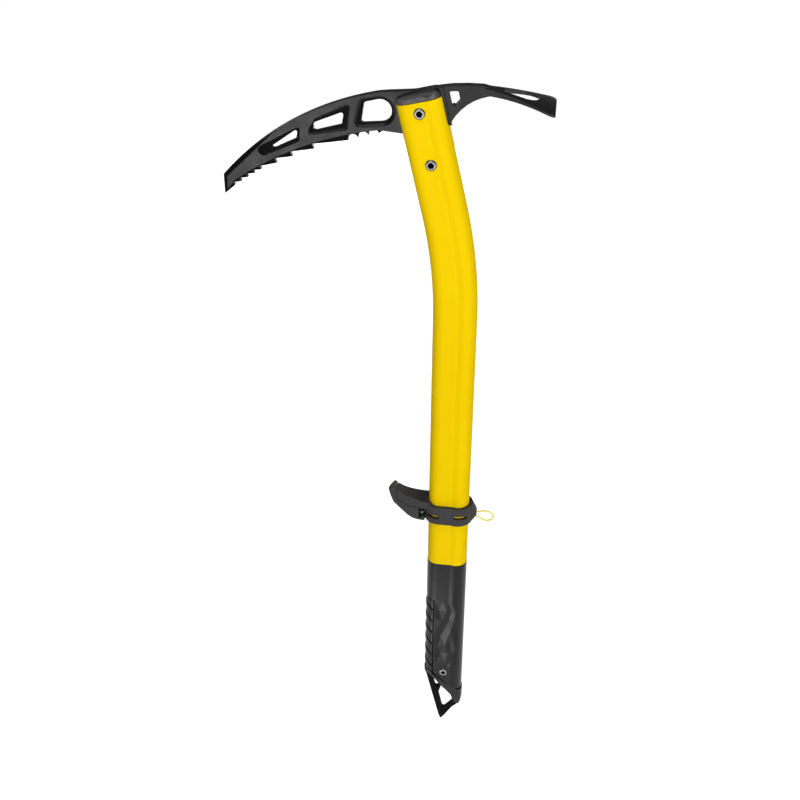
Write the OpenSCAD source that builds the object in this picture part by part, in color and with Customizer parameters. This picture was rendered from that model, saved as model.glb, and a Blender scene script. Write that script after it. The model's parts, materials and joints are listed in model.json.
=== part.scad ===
// Ice climbing tool: bent tube shaft, forged head, spiked grip and sliding finger trigger.
// Millimetres. +Z runs up the lower shaft, +X points to the adze, the origin is the head's eye.

/* [Shaft] */
// Shaft section, front to back
shaft_w = 29.5; // [27:0.1:32]
// Shaft section, side to side
shaft_d = 17; // [15.6:0.2:19]
// How much slimmer the front edge of the section is than the rear edge, in radius
front_taper = 0.5; // [0.2:0.1:1]
// Place of the shallow groove along each side, behind the middle
groove_x = 2.7; // [1:0.1:4]
// Depth of that groove
groove_depth = 0.4; // [0.2:0.1:0.7]
// Wall of the shaft tube
shaft_wall = 1.6; // [1.2:0.1:2]
// Height of the bend's start above the spike tip
bend_start = 374; // [340:1:420]
// Radius of the bend at the middle of the tube
bend_radius = 325; // [260:5:400]
// Lean of the upper shaft towards the pick
bend_angle = 13.45; // [11:0.05:16]
// Straight length of tube above the bend
upper_len = 71; // [62:1:90]

/* [Head] */
// Thickness of the forged web at the shaft
web_t = 6.4; // [5.6:0.1:7.2]
// Thickness of the pick at its tip
tip_t = 4.2; // [3.6:0.1:5]
// Thickness of the web left inside the pockets
pocket_web_t = 3; // [2.4:0.1:3.4]
// Reach of the pick in front of the shaft's top
pick_reach = 124.6; // [118:0.2:130]
// Drop of the tip's upper corner below the shaft's top
pick_drop = 53; // [48:0.5:56]
// Height of the blunt front of the tip
tip_h = 12.8; // [10:0.2:14]
// Radius of the pick's upper edge
pick_top_r = 180; // [170:2:200]
// Radius of the pick's lower edge, along the tooth roots
pick_root_r = 214; // [204:2:230]
// Thickness of the teeth at their roots
tooth_t = 3.2; // [2.6:0.1:3.4]
// Thickness of the teeth at their tips
tooth_tip_t = 1.2; // [0.8:0.1:1.6]
// Distance from the front of the pick to the first tooth tip
first_tooth = 7; // [6:0.2:8]
// Pitch of the fine front teeth
fine_pitch = 4.5; // [4:0.1:4.8]
// Number of fine front teeth
fine_teeth = 5; // [4:1:5]
// Depth of the fine teeth
fine_depth = 3.4; // [2.6:0.1:4]
// Depth of the coarse rear teeth
coarse_depth = 4.1; // [3:0.1:4.8]
// Radius of the scallops behind the teeth
scallop_r = 3.2; // [2.6:0.1:3.4]
// Length of the tang inside the tube
tang_len = 50; // [46:1:56]
// Length of the adze blade
adze_len = 47; // [42:0.5:54]
// Width of the adze at its cutting edge
adze_w = 40; // [36:0.5:46]
// Drop of the adze along its length
adze_drop = 10.8; // [8:0.2:14]
// Height of the adze's arch
adze_arch = 2; // [1:0.2:3]
// Thickness of the adze at its cutting edge
adze_edge_t = 1.5; // [1.2:0.1:2]
// Width of the adze's slot at its wide end
adze_slot_w = 14; // [10:0.5:16]
// Width of the adze's slot at its narrow end
adze_slot_root = 5.6; // [4:0.2:7]
// Distance from the adze's root to the middle of the slot's narrow end
adze_slot_start = 14; // [12:0.5:16]
// Distance between the middles of the slot's ends
adze_slot_run = 16; // [14:0.5:18]
// Height of the plastic cap above the tube
cap_h = 5.7; // [5:0.1:6.5]

/* [Fasteners] */
// Diameter of the bright bolt heads
bolt_head_d = 7; // [6:0.2:8]
// Height of the bolt heads
bolt_head_h = 1.2; // [0.8:0.1:1.6]
// Outside diameter of the barrel nuts
barrel_d = 5; // [4.6:0.1:5.6]
// Diameter of the bolt shanks
bolt_d = 3.4; // [3:0.1:3.8]
// Hexagon socket across its flats
socket_af = 3.5; // [2.6:0.1:3.8]
// Distance of the upper bolt below the tube's top
bolt_drop = 6.5; // [6:0.5:9]
// Distance between the two head bolts
bolt_pitch = 32.2; // [29:0.2:35]

/* [Grip] */
// Height of the grip's top edge above the spike tip
grip_top = 170.8; // [160:0.2:176]
// How far the grip stands proud of the shaft
grip_proud = 0.2; // [0.1:0.1:0.6]
// How far the tube is drawn in under the grip
neck_in = 1.7; // [1.4:0.1:2]
// Height of the ribbed strip's upper end
strip_top = 134.5; // [132:0.5:137]
// Number of ribs on the strip
rib_count = 6; // [4:1:6]
// Pitch of the ribs
rib_pitch = 11.8; // [11.2:0.1:12.2]
// Height of the slanting hem where it crosses the shaft's middle line
hem_z = 51; // [50:0.5:52]
// Height of the ferrule's bead along the hem
bead_h = 2.8; // [2.2:0.1:3.4]
// Thickness of the spike plate
spike_t = 3.6; // [3:0.1:4.4]
// Outside diameter of the grip rivet's rim
rivet_rim_d = 7.4; // [6.6:0.2:8]
// Bore of the grip rivet
rivet_bore = 3; // [2.4:0.1:3.4]
// Height of the grip rivet above the spike tip
rivet_z = 60; // [58:0.5:64]

/* [Trigger] */
// Height of the trigger band's middle above the spike tip
trigger_z = 217.5; // [206:0.5:300]
// Height of the band
band_h = 15; // [13:0.5:17]
// Thickness of the band
band_t = 2.4; // [2:0.1:2.8]
// Running clearance between band and shaft
band_gap = 0.35; // [0.3:0.05:0.5]
// Width of the trigger at the shaft
trigger_w = 16; // [14:0.5:17]
// Width of the trigger at its tip
trigger_tip_w = 8; // [7:0.5:10]
// Width of the tongue that carries the bright catch pin
tongue_w = 6; // [5:0.2:6.6]
// Diameter of the bright catch pin
catch_d = 2; // [1.6:0.1:2.4]
// Diameter of the lever's hinge pin
pin_d = 1.4; // [1.2:0.1:1.6]
// Diameter of the pull cord
cord_d = 1.3; // [1:0.1:1.6]

/* [Hidden] */
$fn = 48;

// Small working allowances: fit between seated pieces, overlaps of joined shapes, reach of cutters
fit = 0.1;
lap = 0.5;
hair = 0.05;
reach = 40;
bend_swell = 0.1;
bend_lap = 1;

// Shaft section: two lobes joined by flats that meet in the groove
rear_r = shaft_d / 2;
front_r = rear_r - front_taper;
front_c = -(shaft_w / 2 - front_r);
rear_c = shaft_w / 2 - rear_r;
groove_y = front_r + (rear_r - front_r) * (groove_x - front_c) / (rear_c - front_c) - groove_depth;

// Top of the tube, at the middle of its section
top_x = -bend_radius * (1 - cos(bend_angle)) - upper_len * sin(bend_angle);
top_z = bend_start + bend_radius * sin(bend_angle) + upper_len * cos(bend_angle);

// Head outline, level, measured from the middle of the tube's top
pick_tip = [-pick_reach, -pick_drop];
pick_root = [-24.6, 3.6];
root_front = [-pick_reach + 6.6, -pick_drop - 3.8];
root_rear = [-24.6, -19.1];
spine = [[-18.6, 4.3], [-12.6, 4.7], [-4, 5.4], [4, 6.6], [12.4, 8.6], [20, 9.7], [29, 10.2], [38, 10.1]];
gusset_c = [47.8, -27];
gusset_r = 31.9;
gusset_from = 95;
gusset_to = 151;
gusset_steps = 7;
arc_steps = 24;
neck_end = [50, 7.2];
heel = [18.7, -15.4];
inner_low = [[10, -22], [-4, -21]];
coarse_gaps = [10.3, 10.2, 13.8, 21.6];
undercut = 1.2;
root_cut = 0.6;
tooth_root = 3;
scallop_pitch = 6.4;
scallop_count = 3;
scallop_rise = 0.6;
eye = [[-23.6, -7.5, 7], [-32, -4, 1.6], [-33.9, -14.1, 1.3]];
eye_pocket = [[-23.6, -7.5, 9.2], [-33, -4.2, 4], [-35.6, -14.2, 4]];
mid_window = [[-47.7, -11.2, 1.3], [-63.6, -17.6, 1.3], [-63.6, -20.3, 1.3], [-48.6, -16.2, 1.3]];
mid_pocket = [[-44, -6.4, 1.9], [-62.8, -15.3, 1.9], [-66.8, -22.6, 1.9], [-45.6, -18.5, 1.9]];
front_window = [[-76.5, -23.2, 1], [-90.4, -33, 1], [-77.1, -26.6, 1]];
front_pocket = [[-75, -21.6, 1.9], [-97.4, -35.6, 3.8], [-75.6, -27.7, 1.9]];
neck_window = [[22.6, 5.7, 0.9], [19.2, 5.5, 0.9], [20.9, -1.4, 0.9], [23.6, 1.6, 0.9]];
pocket_draft = 1.4;
pocket_rise = 2.6;
chisel_l = 2.6;
chisel_t = 1;
bevel_len = 36;
bevel_deep = 3.6;
bevel_in = 1.3;
taper_x = -14;
slot_len = 17.4;
flange_t = 1.6;
flange_w = 7.8;
flange_len = 19;
flange_top = 5;
flange_round = 2;
adze_x = 34;
adze_z = 9.8;
adze_root_w = 4.8;
adze_root_t = 5;
adze_corner = 5;
adze_corner_end = 0.2;
adze_flare = 0.7;
adze_lean = 0.51;
adze_steps = 18;
adze_cross = 8;
cap_round = 4.5;
cap_inset = 0.2;
cap_front = [1.8, 0.72];
cap_crown = [7.3, 4.3];
cap_rear = [0.8, 0.5];

// Bolts through the upper shaft
bolt_u = -0.6;
shank_gap = 0.1;
bolt_len = 8.5;
barrel_short = 1.2;
head_rim = 0.5;
head_bevel = 0.7;
socket_floor = 0.1;

// Lower end
hem = [[-18, 9.4], [-10, 9], [-1.4, 1.6], [4.8, -4.9], [10.3, -8.7], [18, -11.6]];
tube_gap = 0.4;
rib_proud = 0.5;
rib_groove = 1.2;
rib_deep = 1.2;
rib_slant = 50;
rib_rise = 1.8;
rib_bare = 2.6;
rib_bow = 1.5;
rib_steps = 8;
strip_dip = 4.5;
seam_w = 0.9;
seam_deep = 1.1;
strip_edge = -8.1;
strip_rim = 1.4;
ferrule_proud = 0.8;
rim_half = 5;
ferrule_low = [[2.9, -14.2], [-0.6, -10.5], [-6.8, -2.6], [-12.3, 3.2], [-18, 5.5]];
tang_top = 80;
shim_top = 76;
rivet_x = 0.5;
rivet_rim_h = 1.3;
rivet_wall = 0.8;
rivet_bevel = 0.8;
spike_edge = [[-13.9, 51.2], [-1.7, 0], [-0.8, 0], [7.3, 14.4], [9.4, 17], [11.6, 18.9], [12.6, 30]];
spike_hole = [[-0.4, 38.4, 1], [-2.7, 29.4, 1], [0.9, 14.9, 1.4], [7.2, 22.4, 1], [6.8, 29.8, 1]];
upper_hole = [[-5.1, 38.2, 1.5], [-6.9, 45.4, 1.5]];
tip_edge = 0.5;
tip_wedge_z = 8;
nose = [[16.2, 36], [15.7, 30.2], [14.4, 25], [13.2, 22.4], [11.8, 22], [8.8, 26.3], [7.8, 28.5], [6.9, 32]];
taper_low = 3.6;
taper_z = 18;
taper_top_z = 64;
facet_rows = [
    [134, [[-8, -0.1], [-1.5, -0.1], [groove_x, -0.1], [6.3, -0.5], [11.5, -0.5]]],
    [124, [[-8, -0.1], [-4.6, 1.4], [1.6, 0.2], [5.2, 1.3], [8.4, 0.3], [11.5, -0.1]]],
    [115, [[-8, -0.1], [-1.6, 0.1], [3.6, 1.4], [7.4, 0.4], [11.5, -0.1]]],
    [106, [[-8, -0.1], [-5, 0.2], [0.6, 1.4], [5.4, 0.1], [8.8, 1], [11.5, -0.1]]],
    [97, [[-8, -0.1], [-2.6, 1.4], [2.9, 0.1], [7.2, 0.5], [11.5, -0.1]]],
    [88, [[-8, -0.1], [-5, 0.4], [1.2, 0.2], [5.2, 1.4], [8.8, 0.3], [11.5, -0.1]]],
    [80, [[-8, -0.1], [-2.2, 1.4], [3.4, 0.6], [7.4, 1], [11.5, -0.1]]],
    [71, [[-8, -0.1], [-4.8, 0.2], [1, 0.1], [5.2, 0.4], [8.6, 0.2], [11.5, -0.1]]],
    [65, [[-8, -0.1], [-2, -0.1], [groove_x, -0.1], [6.3, -0.5], [11.5, -0.5]]]];

// Trigger, measured from the band's middle height: its front points from the shaft's front edge
front_x = -shaft_w / 2;
rear_x = shaft_w / 2;
pin_at = [front_x - 3.6, -6];
knuckle_r = 1.6;
lug_half = 4.1;
lug_h = 2.4;
fork_gap = 0.35;
pin_short = 0.9;
catch_at = [front_x - 4.4, -1.4];
catch_half = 5.6;
tongue_r = 1.9;
tongue_top = 5.4;
notch_x = -6.9;
lip_top = -5.9;
saddle_top = [[7.3, 6.6], [3, 8.3], [-0.3, 9.2], [-5.3, 9.8], [-9.7, 10.6], [-14.3, 11.8], [-18.5, 13.5],
    [-23.3, 16.5]];
saddle_low = [[-23.3, 8.4], [-15.7, 4.1], [-10.3, 3.5], [7.3, 3.2]];
lever_out = [[-23.6, 17.1], [-25.4, 19], [-29.9, 14.4], [-25.9, 4.7], [-20.3, -0.5], [-15.3, -4.9],
    [-11.5, -7], [-8, -7.6]];
lever_in = [[-6.9, 2.9], [-10.4, 3], [-15.9, 3.6], [-23.6, 8]];
saddle_grooves = [-1.6, -3.1, -4.6, -6.1, -7.6];
saddle_groove = [0.4, 0.5];
trigger_tip_x = front_x - 29.9;
trigger_root_x = front_x + 2.3;
trigger_corner = 4;
slot_h = 3;
slots = [[front_x - 0.2, front_x + 9, -1.4], [rear_x - 10.4, rear_x - 0.8, -0.3]];
nub_out = [[1.5, band_h / 2], [5.9, 1.8], [5.9, -2.6], [1.5, -band_h / 2]];
nub_in = rear_x - 6.3;
nub_tip_x = 2.7;
nub_tip_r = 3.2;
nub_root_y = 8;
nub_root_r = 2;
knot_at = [rear_x + 1.85, -2.5];
knot_r = 1.6;
knot_len = 5.4;
knot_gap = 0.3;
knot_round = 0.5;

// Pull cord: its route and its play in the band's two holes
cord_path = [[18.3, -0.7], [20.5, -0.7], [23, -0.2], [25.5, 0.4], [28, 0.5], [30.4, -0.3], [32.2, -1.9],
    [32.8, -4], [32, -6.2], [30, -7.6], [27.6, -7.8], [25.2, -7], [23, -5.7], [21, -4.7], [18.3, -4.3]];
cord_sides = 8;
cord_gap = 0.25;

// The head's eye is the origin
eye_at = [top_x + eye[0].x, 0, top_z + eye[0].y];

// Places that follow from the sizes
seat_y = max(side_half(bolt_u - bolt_head_d / 2), side_half(bolt_u + bolt_head_d / 2));
bolt_at = [-bolt_drop, -bolt_drop - bolt_pitch];
tang_half = lobe_reach(front_r - shaft_wall, web_t / 2) - front_c - 2 * fit;
neck_half = lobe_reach(front_r - neck_in - shaft_wall, spike_t / 2) - front_c - 2 * fit;
rivet_d = rivet_bore + 2 * rivet_wall;
rivet_seat = front_r + grip_proud - lap;

// Half depth of the shaft's side at a place across it
function side_half(x) =
    x < groove_x ? front_r + (groove_y - front_r) * (x - front_c) / (groove_x - front_c)
                 : groove_y + (rear_r - groove_y) * (x - groove_x) / (rear_c - groove_x);

// Half width of a lobe at a distance from the middle plane
function lobe_reach(r, y) = sqrt(r * r - y * y);

// Centre, below the chord, of an arc of radius r through a and b
function arc_centre(a, b, r) =
    let (d = b - a, l = norm(d), n = [d.y, -d.x] / l) (a + b) / 2 + n * sqrt(r * r - l * l / 4);

// Height of that arc at x
function arc_z(c, r, x) = c.y + sqrt(r * r - (x - c.x) * (x - c.x));

// Points of that arc between two values of x
function arc_points(c, r, x0, x1) =
    [for (i = [0:arc_steps]) let (x = x0 + (x1 - x0) * i / arc_steps) [x, arc_z(c, r, x)]];

// Running total of a list up to an index
function total(list, i) = i < 0 ? 0 : list[i] + total(list, i - 1);

// Points moved along X
function moved(x, points) = [for (p = points) p + [x, 0]];

// Outline round a set of circles that turn anticlockwise: tangent points of each pair in turn
function belt(c) = [for (i = [0:len(c) - 1])
    let (a = c[i], b = c[(i + 1) % len(c)], d = [b.x - a.x, b.y - a.y], l = norm(d),
         turn = atan2(d.y, d.x) - 90 + asin((a.z - b.z) / l), n = [cos(turn), sin(turn)])
    each [[a.x, a.y] + n * a.z, [b.x, b.y] + n * b.z]];

// Shape of a belt round circles
module belt_shape(c) {
    polygon(belt(c));
    for (k = c)
        translate([k.x, k.y])
            circle(r = k.z);
}

// A plate standing in the X-Z plane, half to each side
module plate(t) {
    rotate([90, 0, 0])
        linear_extrude(t, center = true)
            children();
}

// Frame of the tube's top: leaning with the upper shaft
module at_top() {
    translate([top_x, 0, top_z])
        rotate([0, -bend_angle, 0])
            children();
}

// Frame of the head: level, at the tube's top
module at_head() {
    translate([top_x, 0, top_z])
        children();
}

// Frame of the trigger on the shaft
module at_trigger() {
    translate([0, 0, trigger_z])
        children();
}

// The part's own frame
module placed() {
    translate(-eye_at)
        children();
}

module shaft_section(grow) {
    translate([front_c, 0])
        circle(r = front_r + grow);
    translate([rear_c, 0])
        circle(r = rear_r + grow);
    polygon([[front_c, -front_r - grow], [groove_x, -groove_y - grow], [rear_c, -rear_r - grow],
        [rear_c, rear_r + grow], [groove_x, groove_y + grow], [front_c, front_r + grow]]);
}

// The bent bar of the tube and of its bore: the bend swells by a hair and the straights reach into it
module shaft_bar(grow, low, over) {
    translate([0, 0, low])
        linear_extrude(bend_start - low + bend_lap)
            shaft_section(grow);
    translate([-bend_radius, 0, bend_start])
        rotate([90, 0, 0])
            rotate_extrude(angle = bend_angle, $fn = 180)
                translate([bend_radius, 0])
                    shaft_section(grow + bend_swell);
    at_top()
        translate([0, 0, -upper_len - bend_lap])
            linear_extrude(upper_len + bend_lap + over)
                shaft_section(grow);
}

// The slanting hem of the grip, raised by a height
function hem_line(raise) = [for (p = hem) [p.x, hem_z + p.y + raise]];

// Everything below the hem
module below_hem(raise) {
    plate(reach)
        polygon(concat(hem_line(raise), [[reach, -reach], [-reach, -reach]]));
}

module bolt_holes(d) {
    at_top()
        for (v = bolt_at)
            translate([bolt_u, 0, v])
                rotate([90, 0, 0])
                    cylinder(d = d, h = reach, center = true);
}

module rivet_hole(d) {
    translate([rivet_x, 0, rivet_z])
        rotate([90, 0, 0])
            cylinder(d = d, h = reach, center = true);
}

module shaft() {
    color("gold")
        difference() {
            union() {
                shaft_bar(0, grip_top, 0);
                linear_extrude(grip_top + lap)
                    shaft_section(-neck_in);
            }
            shaft_bar(-shaft_wall, grip_top + shaft_wall, lap);
            translate([0, 0, -lap])
                linear_extrude(grip_top + shaft_wall + 2 * lap)
                    shaft_section(-neck_in - shaft_wall);
            below_hem(tube_gap);
            at_top()
                translate([-reach + front_c, -web_t / 2 - fit, -slot_len])
                    cube([reach, web_t + 2 * fit, slot_len + lap]);
            bolt_holes(barrel_d + shank_gap);
            rivet_hole(rivet_d + shank_gap);
        }
}

// Tooth tips along the pick, from the front
tooth_gap = concat([for (i = [1:fine_teeth]) i == 1 ? first_tooth : fine_pitch], coarse_gaps);
tooth_x = [for (i = [0:len(tooth_gap) - 1]) -pick_reach + total(tooth_gap, i)];
last_tooth = len(tooth_x) - 1;
top_c = arc_centre(pick_tip, pick_root, pick_top_r);
root_c = arc_centre(root_front, root_rear, pick_root_r);

function tooth_depth(i) = i < fine_teeth ? fine_depth : coarse_depth;
function root_z(x) = arc_z(root_c, pick_root_r, x);

// Lower edge of the teeth: each tip, then the undercut behind it, then the nubs between the scallops
function nub_x(k) = tooth_x[last_tooth] + k * scallop_pitch;
function nub_z(k) = root_z(nub_x(k)) - coarse_depth + scallop_rise * k;
function tooth_edge() = concat(
    [for (i = [0:last_tooth]) each [
        [tooth_x[i], root_z(tooth_x[i]) - tooth_depth(i)],
        if (i < last_tooth) [tooth_x[i] - undercut, root_z(tooth_x[i] - undercut) - root_cut]]],
    [for (k = [1:scallop_count]) [nub_x(k), nub_z(k)]]);

// One level outline from the pick's tip over the spine to the adze's neck
module head_outline() {
    polygon(concat(
        arc_points(top_c, pick_top_r, -pick_reach, pick_root.x),
        spine,
        [neck_end],
        [for (i = [0:gusset_steps])
            let (a = gusset_from + (gusset_to - gusset_from) * i / gusset_steps)
            gusset_c + gusset_r * [cos(a), sin(a)]],
        [heel],
        inner_low,
        arc_points(root_c, pick_root_r, root_rear.x, root_front.x),
        [[-pick_reach, -pick_drop - tip_h]]));
}

// The tube's rear half and half the flange behind it, which the web passes over, in the level frame
module tube_rear() {
    rotate(bend_angle)
        translate([0, fit - reach])
            square([shaft_w / 2 + fit + flange_t / 2, reach]);
}

module tang_outline() {
    rotate(bend_angle)
        translate([-tang_half, -tang_len])
            square([2 * tang_half, tang_len + cap_h / 2]);
}

module teeth_outline() {
    difference() {
        polygon(concat(
            [[-pick_reach, -pick_drop - tip_h]],
            tooth_edge(),
            [root_rear + [tooth_root, 0]],
            [for (p = arc_points(root_c, pick_root_r, root_rear.x, root_front.x)) p + [0, tooth_root]],
            [[-pick_reach, -pick_drop - tip_h / 2]]));
        for (k = [0:scallop_count - 1])
            translate([nub_x(k + 0.5), nub_z(k + 0.5)])
                circle(r = scallop_r - fit);
    }
}

// A ring along the tooth roots whose section thins towards the tooth tips
module tooth_bevel() {
    outer = pick_root_r + 2 * tooth_root;
    inner = pick_root_r - 2 * coarse_depth;
    slope = pick_root_r + tooth_root / 2;
    translate([root_c.x, 0, root_c.y])
        rotate([90, 0, 0])
            rotate_extrude($fn = 360)
                polygon([[inner, -tooth_tip_t / 2], [slope - tooth_root - coarse_depth, -tooth_tip_t / 2],
                    [slope, -tooth_t], [outer, -tooth_t], [outer, tooth_t], [slope, tooth_t],
                    [slope - tooth_root - coarse_depth, tooth_tip_t / 2], [inner, tooth_tip_t / 2]]);
}

// A point past b, seen from a
function beyond(a, b) = a + (b - a) * (1 + lap / 5);

// Half thickness of the pick at a place along it
function half_thick(x) = tip_t / 2 + (web_t - tip_t) / 2
    * (x + pick_reach - chisel_l) / (taper_x + pick_reach - chisel_l);

// Plan of the pick: it thins from the shaft to the tip and ends in a chisel
module pick_plan() {
    half = [[-pick_reach, chisel_t / 2], [-pick_reach + chisel_l, tip_t / 2], [taper_x, web_t / 2],
        [2 * reach, web_t / 2]];
    polygon(concat([for (p = half) [p.x, -p.y]], [for (i = [3:-1:0]) half[i]]));
}

// Bevels along the upper edge of the tip, one on each side, that fade out behind the tip
module tip_bevels() {
    fade_x = -pick_reach + bevel_len;
    fade = [fade_x, -half_thick(fade_x), arc_z(top_c, pick_top_r, fade_x)];
    edge = [-pick_reach, -tip_t / 2, -pick_drop];
    low = edge - [0, 0, bevel_deep];
    inner = edge + [0, bevel_in, 0];
    for (side = [0, 1])
        mirror([0, side, 0])
            polyhedron(
                [fade, beyond(fade, 2 * inner - low), beyond(fade, 2 * low - inner), beyond(fade, edge)
                    + [0, -bevel_in, 2 * bevel_deep]],
                [[0, 1, 2], [0, 3, 1], [1, 3, 2], [2, 3, 0]]);
}

// A curve from 0 to 1 that starts at a given slope
function ease(slope, s) = slope * s + (1 - slope) * s * s;

// The adze blade: arched sections that flare, thin and drop towards the cutting edge
function adze_half(s) = let (x = s * adze_len, r = adze_corner, e = max(0, x - adze_len + r),
    flare = adze_root_w / 2 + (adze_w - adze_root_w) / 2 * ease(adze_flare, s))
    flare - r * (1 - max(adze_corner_end, sqrt(max(0, 1 - e * e / (r * r)))));
function adze_top(s) = adze_z - adze_drop * ease(adze_lean, s);
function adze_thick(s) = adze_edge_t + (adze_root_t - adze_edge_t) * (1 - s) * (1 - s);
function adze_ring(s) = let (h = adze_half(s))
    [for (j = [0:2 * adze_cross + 1])
        let (upper = j <= adze_cross, k = upper ? j : 2 * adze_cross + 1 - j, q = 1 - 2 * k / adze_cross,
             bow = adze_arch * s * (1 - q * q))
        [adze_x + s * adze_len, q * h, adze_top(s) + bow - (upper ? 0 : adze_thick(s))]];

// Closed skin over rings of points
module loft(rings) {
    n = len(rings[0]);
    last = len(rings) - 1;
    polyhedron(
        [for (ring = rings) each ring],
        concat(
            [for (j = [0:n / 2 - 2]) each [[j, j + 1, n - 1 - j], [j + 1, n - 2 - j, n - 1 - j]]],
            [for (j = [0:n / 2 - 2]) each [
                [last * n + n - 1 - j, last * n + j + 1, last * n + j],
                [last * n + n - 1 - j, last * n + n - 2 - j, last * n + j + 1]]],
            [for (i = [0:last - 1]) for (j = [0:n - 1]) each [
                [i * n + j, (i + 1) * n + j, i * n + (j + 1) % n],
                [i * n + (j + 1) % n, (i + 1) * n + j, (i + 1) * n + (j + 1) % n]]]),
        convexity = 6);
}

module adze_blade() {
    difference() {
        loft([for (i = [0:adze_steps]) adze_ring(sin(90 * i / adze_steps))]);
        translate([adze_x, 0, -reach])
            linear_extrude(2 * reach)
                belt_shape([[adze_slot_start, 0, adze_slot_root / 2],
                    [adze_slot_start + adze_slot_run, 0, adze_slot_w / 2]]);
    }
}

// Saddle flange that hugs the rear of the tube
module rear_flange() {
    half = flange_w / 2;
    intersection() {
        translate([0, 0, -flange_len])
            linear_extrude(flange_len + flange_top)
                difference() {
                    shaft_section(fit + flange_t);
                    shaft_section(fit);
                    translate([-reach, -reach / 2])
                        square([reach, reach]);
                }
        rotate([90, 0, 90])
            linear_extrude(reach)
                belt_shape([[half - flange_round, flange_top, flange_round],
                    [flange_round - half, flange_top, flange_round], [0, half - flange_len, half]]);
    }
}

// Sloping pocket on both sides of the web
module pocket(c) {
    for (side = [0, 1])
        mirror([0, side, 0])
            hull()
                for (k = c)
                    translate([k.x, -pocket_web_t / 2, k.y])
                        rotate([90, 0, 0])
                            cylinder(pocket_rise, k.z - pocket_draft, k.z + pocket_draft, $fn = 32);
}

module head() {
    color("#3c3d3f")
        difference() {
            union() {
                at_head() {
                    intersection() {
                        union() {
                            plate(web_t) {
                                difference() {
                                    head_outline();
                                    tube_rear();
                                }
                                tang_outline();
                            }
                            intersection() {
                                plate(tooth_t)
                                    teeth_outline();
                                tooth_bevel();
                            }
                        }
                        translate([0, 0, -2 * reach])
                            linear_extrude(3 * reach)
                                pick_plan();
                    }
                    adze_blade();
                }
                at_top()
                    rear_flange();
            }
            at_head() {
                pocket(eye_pocket);
                pocket(mid_pocket);
                pocket(front_pocket);
                for (w = [eye, mid_window, front_window, neck_window])
                    plate(reach)
                        belt_shape(w);
                tip_bevels();
            }
            bolt_holes(barrel_d + shank_gap);
        }
}

// A cheek fills one side of the tube beside the tang and ends in the rounded cap
module cheek() {
    half = shaft_w / 2;
    mid = shaft_d / 2 - cap_inset - cap_round;
    crown = cap_h - cap_round;
    color("#2b2c2e")
        difference() {
            at_top() {
                translate([0, 0, -tang_len])
                    linear_extrude(tang_len + lap)
                        shaft_section(-shaft_wall - fit);
                intersection() {
                    translate([0, 0, fit])
                        linear_extrude(2 * cap_h)
                            shaft_section(-cap_inset);
                    plate(reach)
                        polygon([[-half, 0], [cap_front.x - half, cap_front.y * cap_h],
                            [cap_crown[0] - half, cap_h], [half - cap_crown[1], cap_h],
                            [half - cap_rear.x, cap_rear.y * cap_h], [half, 0]]);
                    rotate([90, 0, 90])
                        linear_extrude(2 * reach, center = true)
                            belt_shape([[mid, crown, cap_round], [-mid, crown, cap_round],
                                [-mid, -reach, cap_round], [mid, -reach, cap_round]]);
                }
            }
            bolt_holes(barrel_d + shank_gap);
            at_head()
                translate([-2 * reach, -web_t / 2 - fit, -4 * reach])
                    cube([4 * reach, reach, 6 * reach]);
        }
}

module near_head_cheek() {
    cheek();
}

module far_head_cheek() {
    mirror([0, 1, 0])
        cheek();
}

// Frame of a head bolt: along Y, with +Z out of the near side
module at_bolt(v) {
    at_top()
        translate([bolt_u, 0, v])
            rotate([90, 0, 0])
                children();
}

// Flanged head with a hexagon socket, seated on the tube's side
module socket_head() {
    r = bolt_head_d / 2;
    translate([0, 0, seat_y])
        difference() {
            rotate_extrude()
                polygon([[0, 0], [r, 0], [r, head_rim], [r - head_bevel, bolt_head_h], [0, bolt_head_h]]);
            translate([0, 0, socket_floor])
                cylinder(d = socket_af / cos(30), h = bolt_head_h, $fn = 6);
        }
}

module head_bolt(v) {
    color("silver")
        at_bolt(v) {
            socket_head();
            translate([0, 0, seat_y - bolt_len])
                cylinder(d = bolt_d, h = bolt_len + hair);
        }
}

module barrel_nut(v) {
    color("silver")
        at_bolt(v)
            mirror([0, 0, 1]) {
                socket_head();
                difference() {
                    translate([0, 0, -seat_y + barrel_short])
                        cylinder(d = barrel_d, h = 2 * seat_y - barrel_short + hair);
                    translate([0, 0, -seat_y])
                        cylinder(d = bolt_d + 2 * shank_gap, h = bolt_len + lap);
                }
            }
}

module upper_head_bolt() {
    head_bolt(bolt_at[0]);
}

module lower_head_bolt() {
    head_bolt(bolt_at[1]);
}

module upper_barrel_nut() {
    barrel_nut(bolt_at[0]);
}

module lower_barrel_nut() {
    barrel_nut(bolt_at[1]);
}

// Front channel of the grip, where the ribbed strip sits
module strip_space(inset) {
    translate([strip_edge - inset - reach, -reach / 2, 0])
        cube([reach, reach, strip_top - inset]);
}

// Half depth of the grip's side at a place across it
function grip_half(x) =
    x < front_c ? lobe_reach(front_r + grip_proud, x - front_c)
    : x > rear_c ? lobe_reach(rear_r + grip_proud, x - rear_c)
    : side_half(x) + grip_proud;

// Index of the first point of a row of facet corners
function row_start(i) = total([for (row = facet_rows) len(row[1])], i - 1);

// Two rows of facet corners joined by triangles
function row_strip(i) =
    let (a = row_start(i), b = row_start(i + 1), n = b - a, m = len(facet_rows[i + 1][1]))
    n < m ? [for (k = [0:m - 2]) each
                [[a + k, b + k, b + k + 1], if (k < n - 1) [a + k, b + k + 1, a + k + 1]]]
          : [for (k = [0:n - 2]) each
                [[a + k, b + k, a + k + 1], if (k < m - 1) [a + k + 1, b + k, b + k + 1]]];

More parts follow.
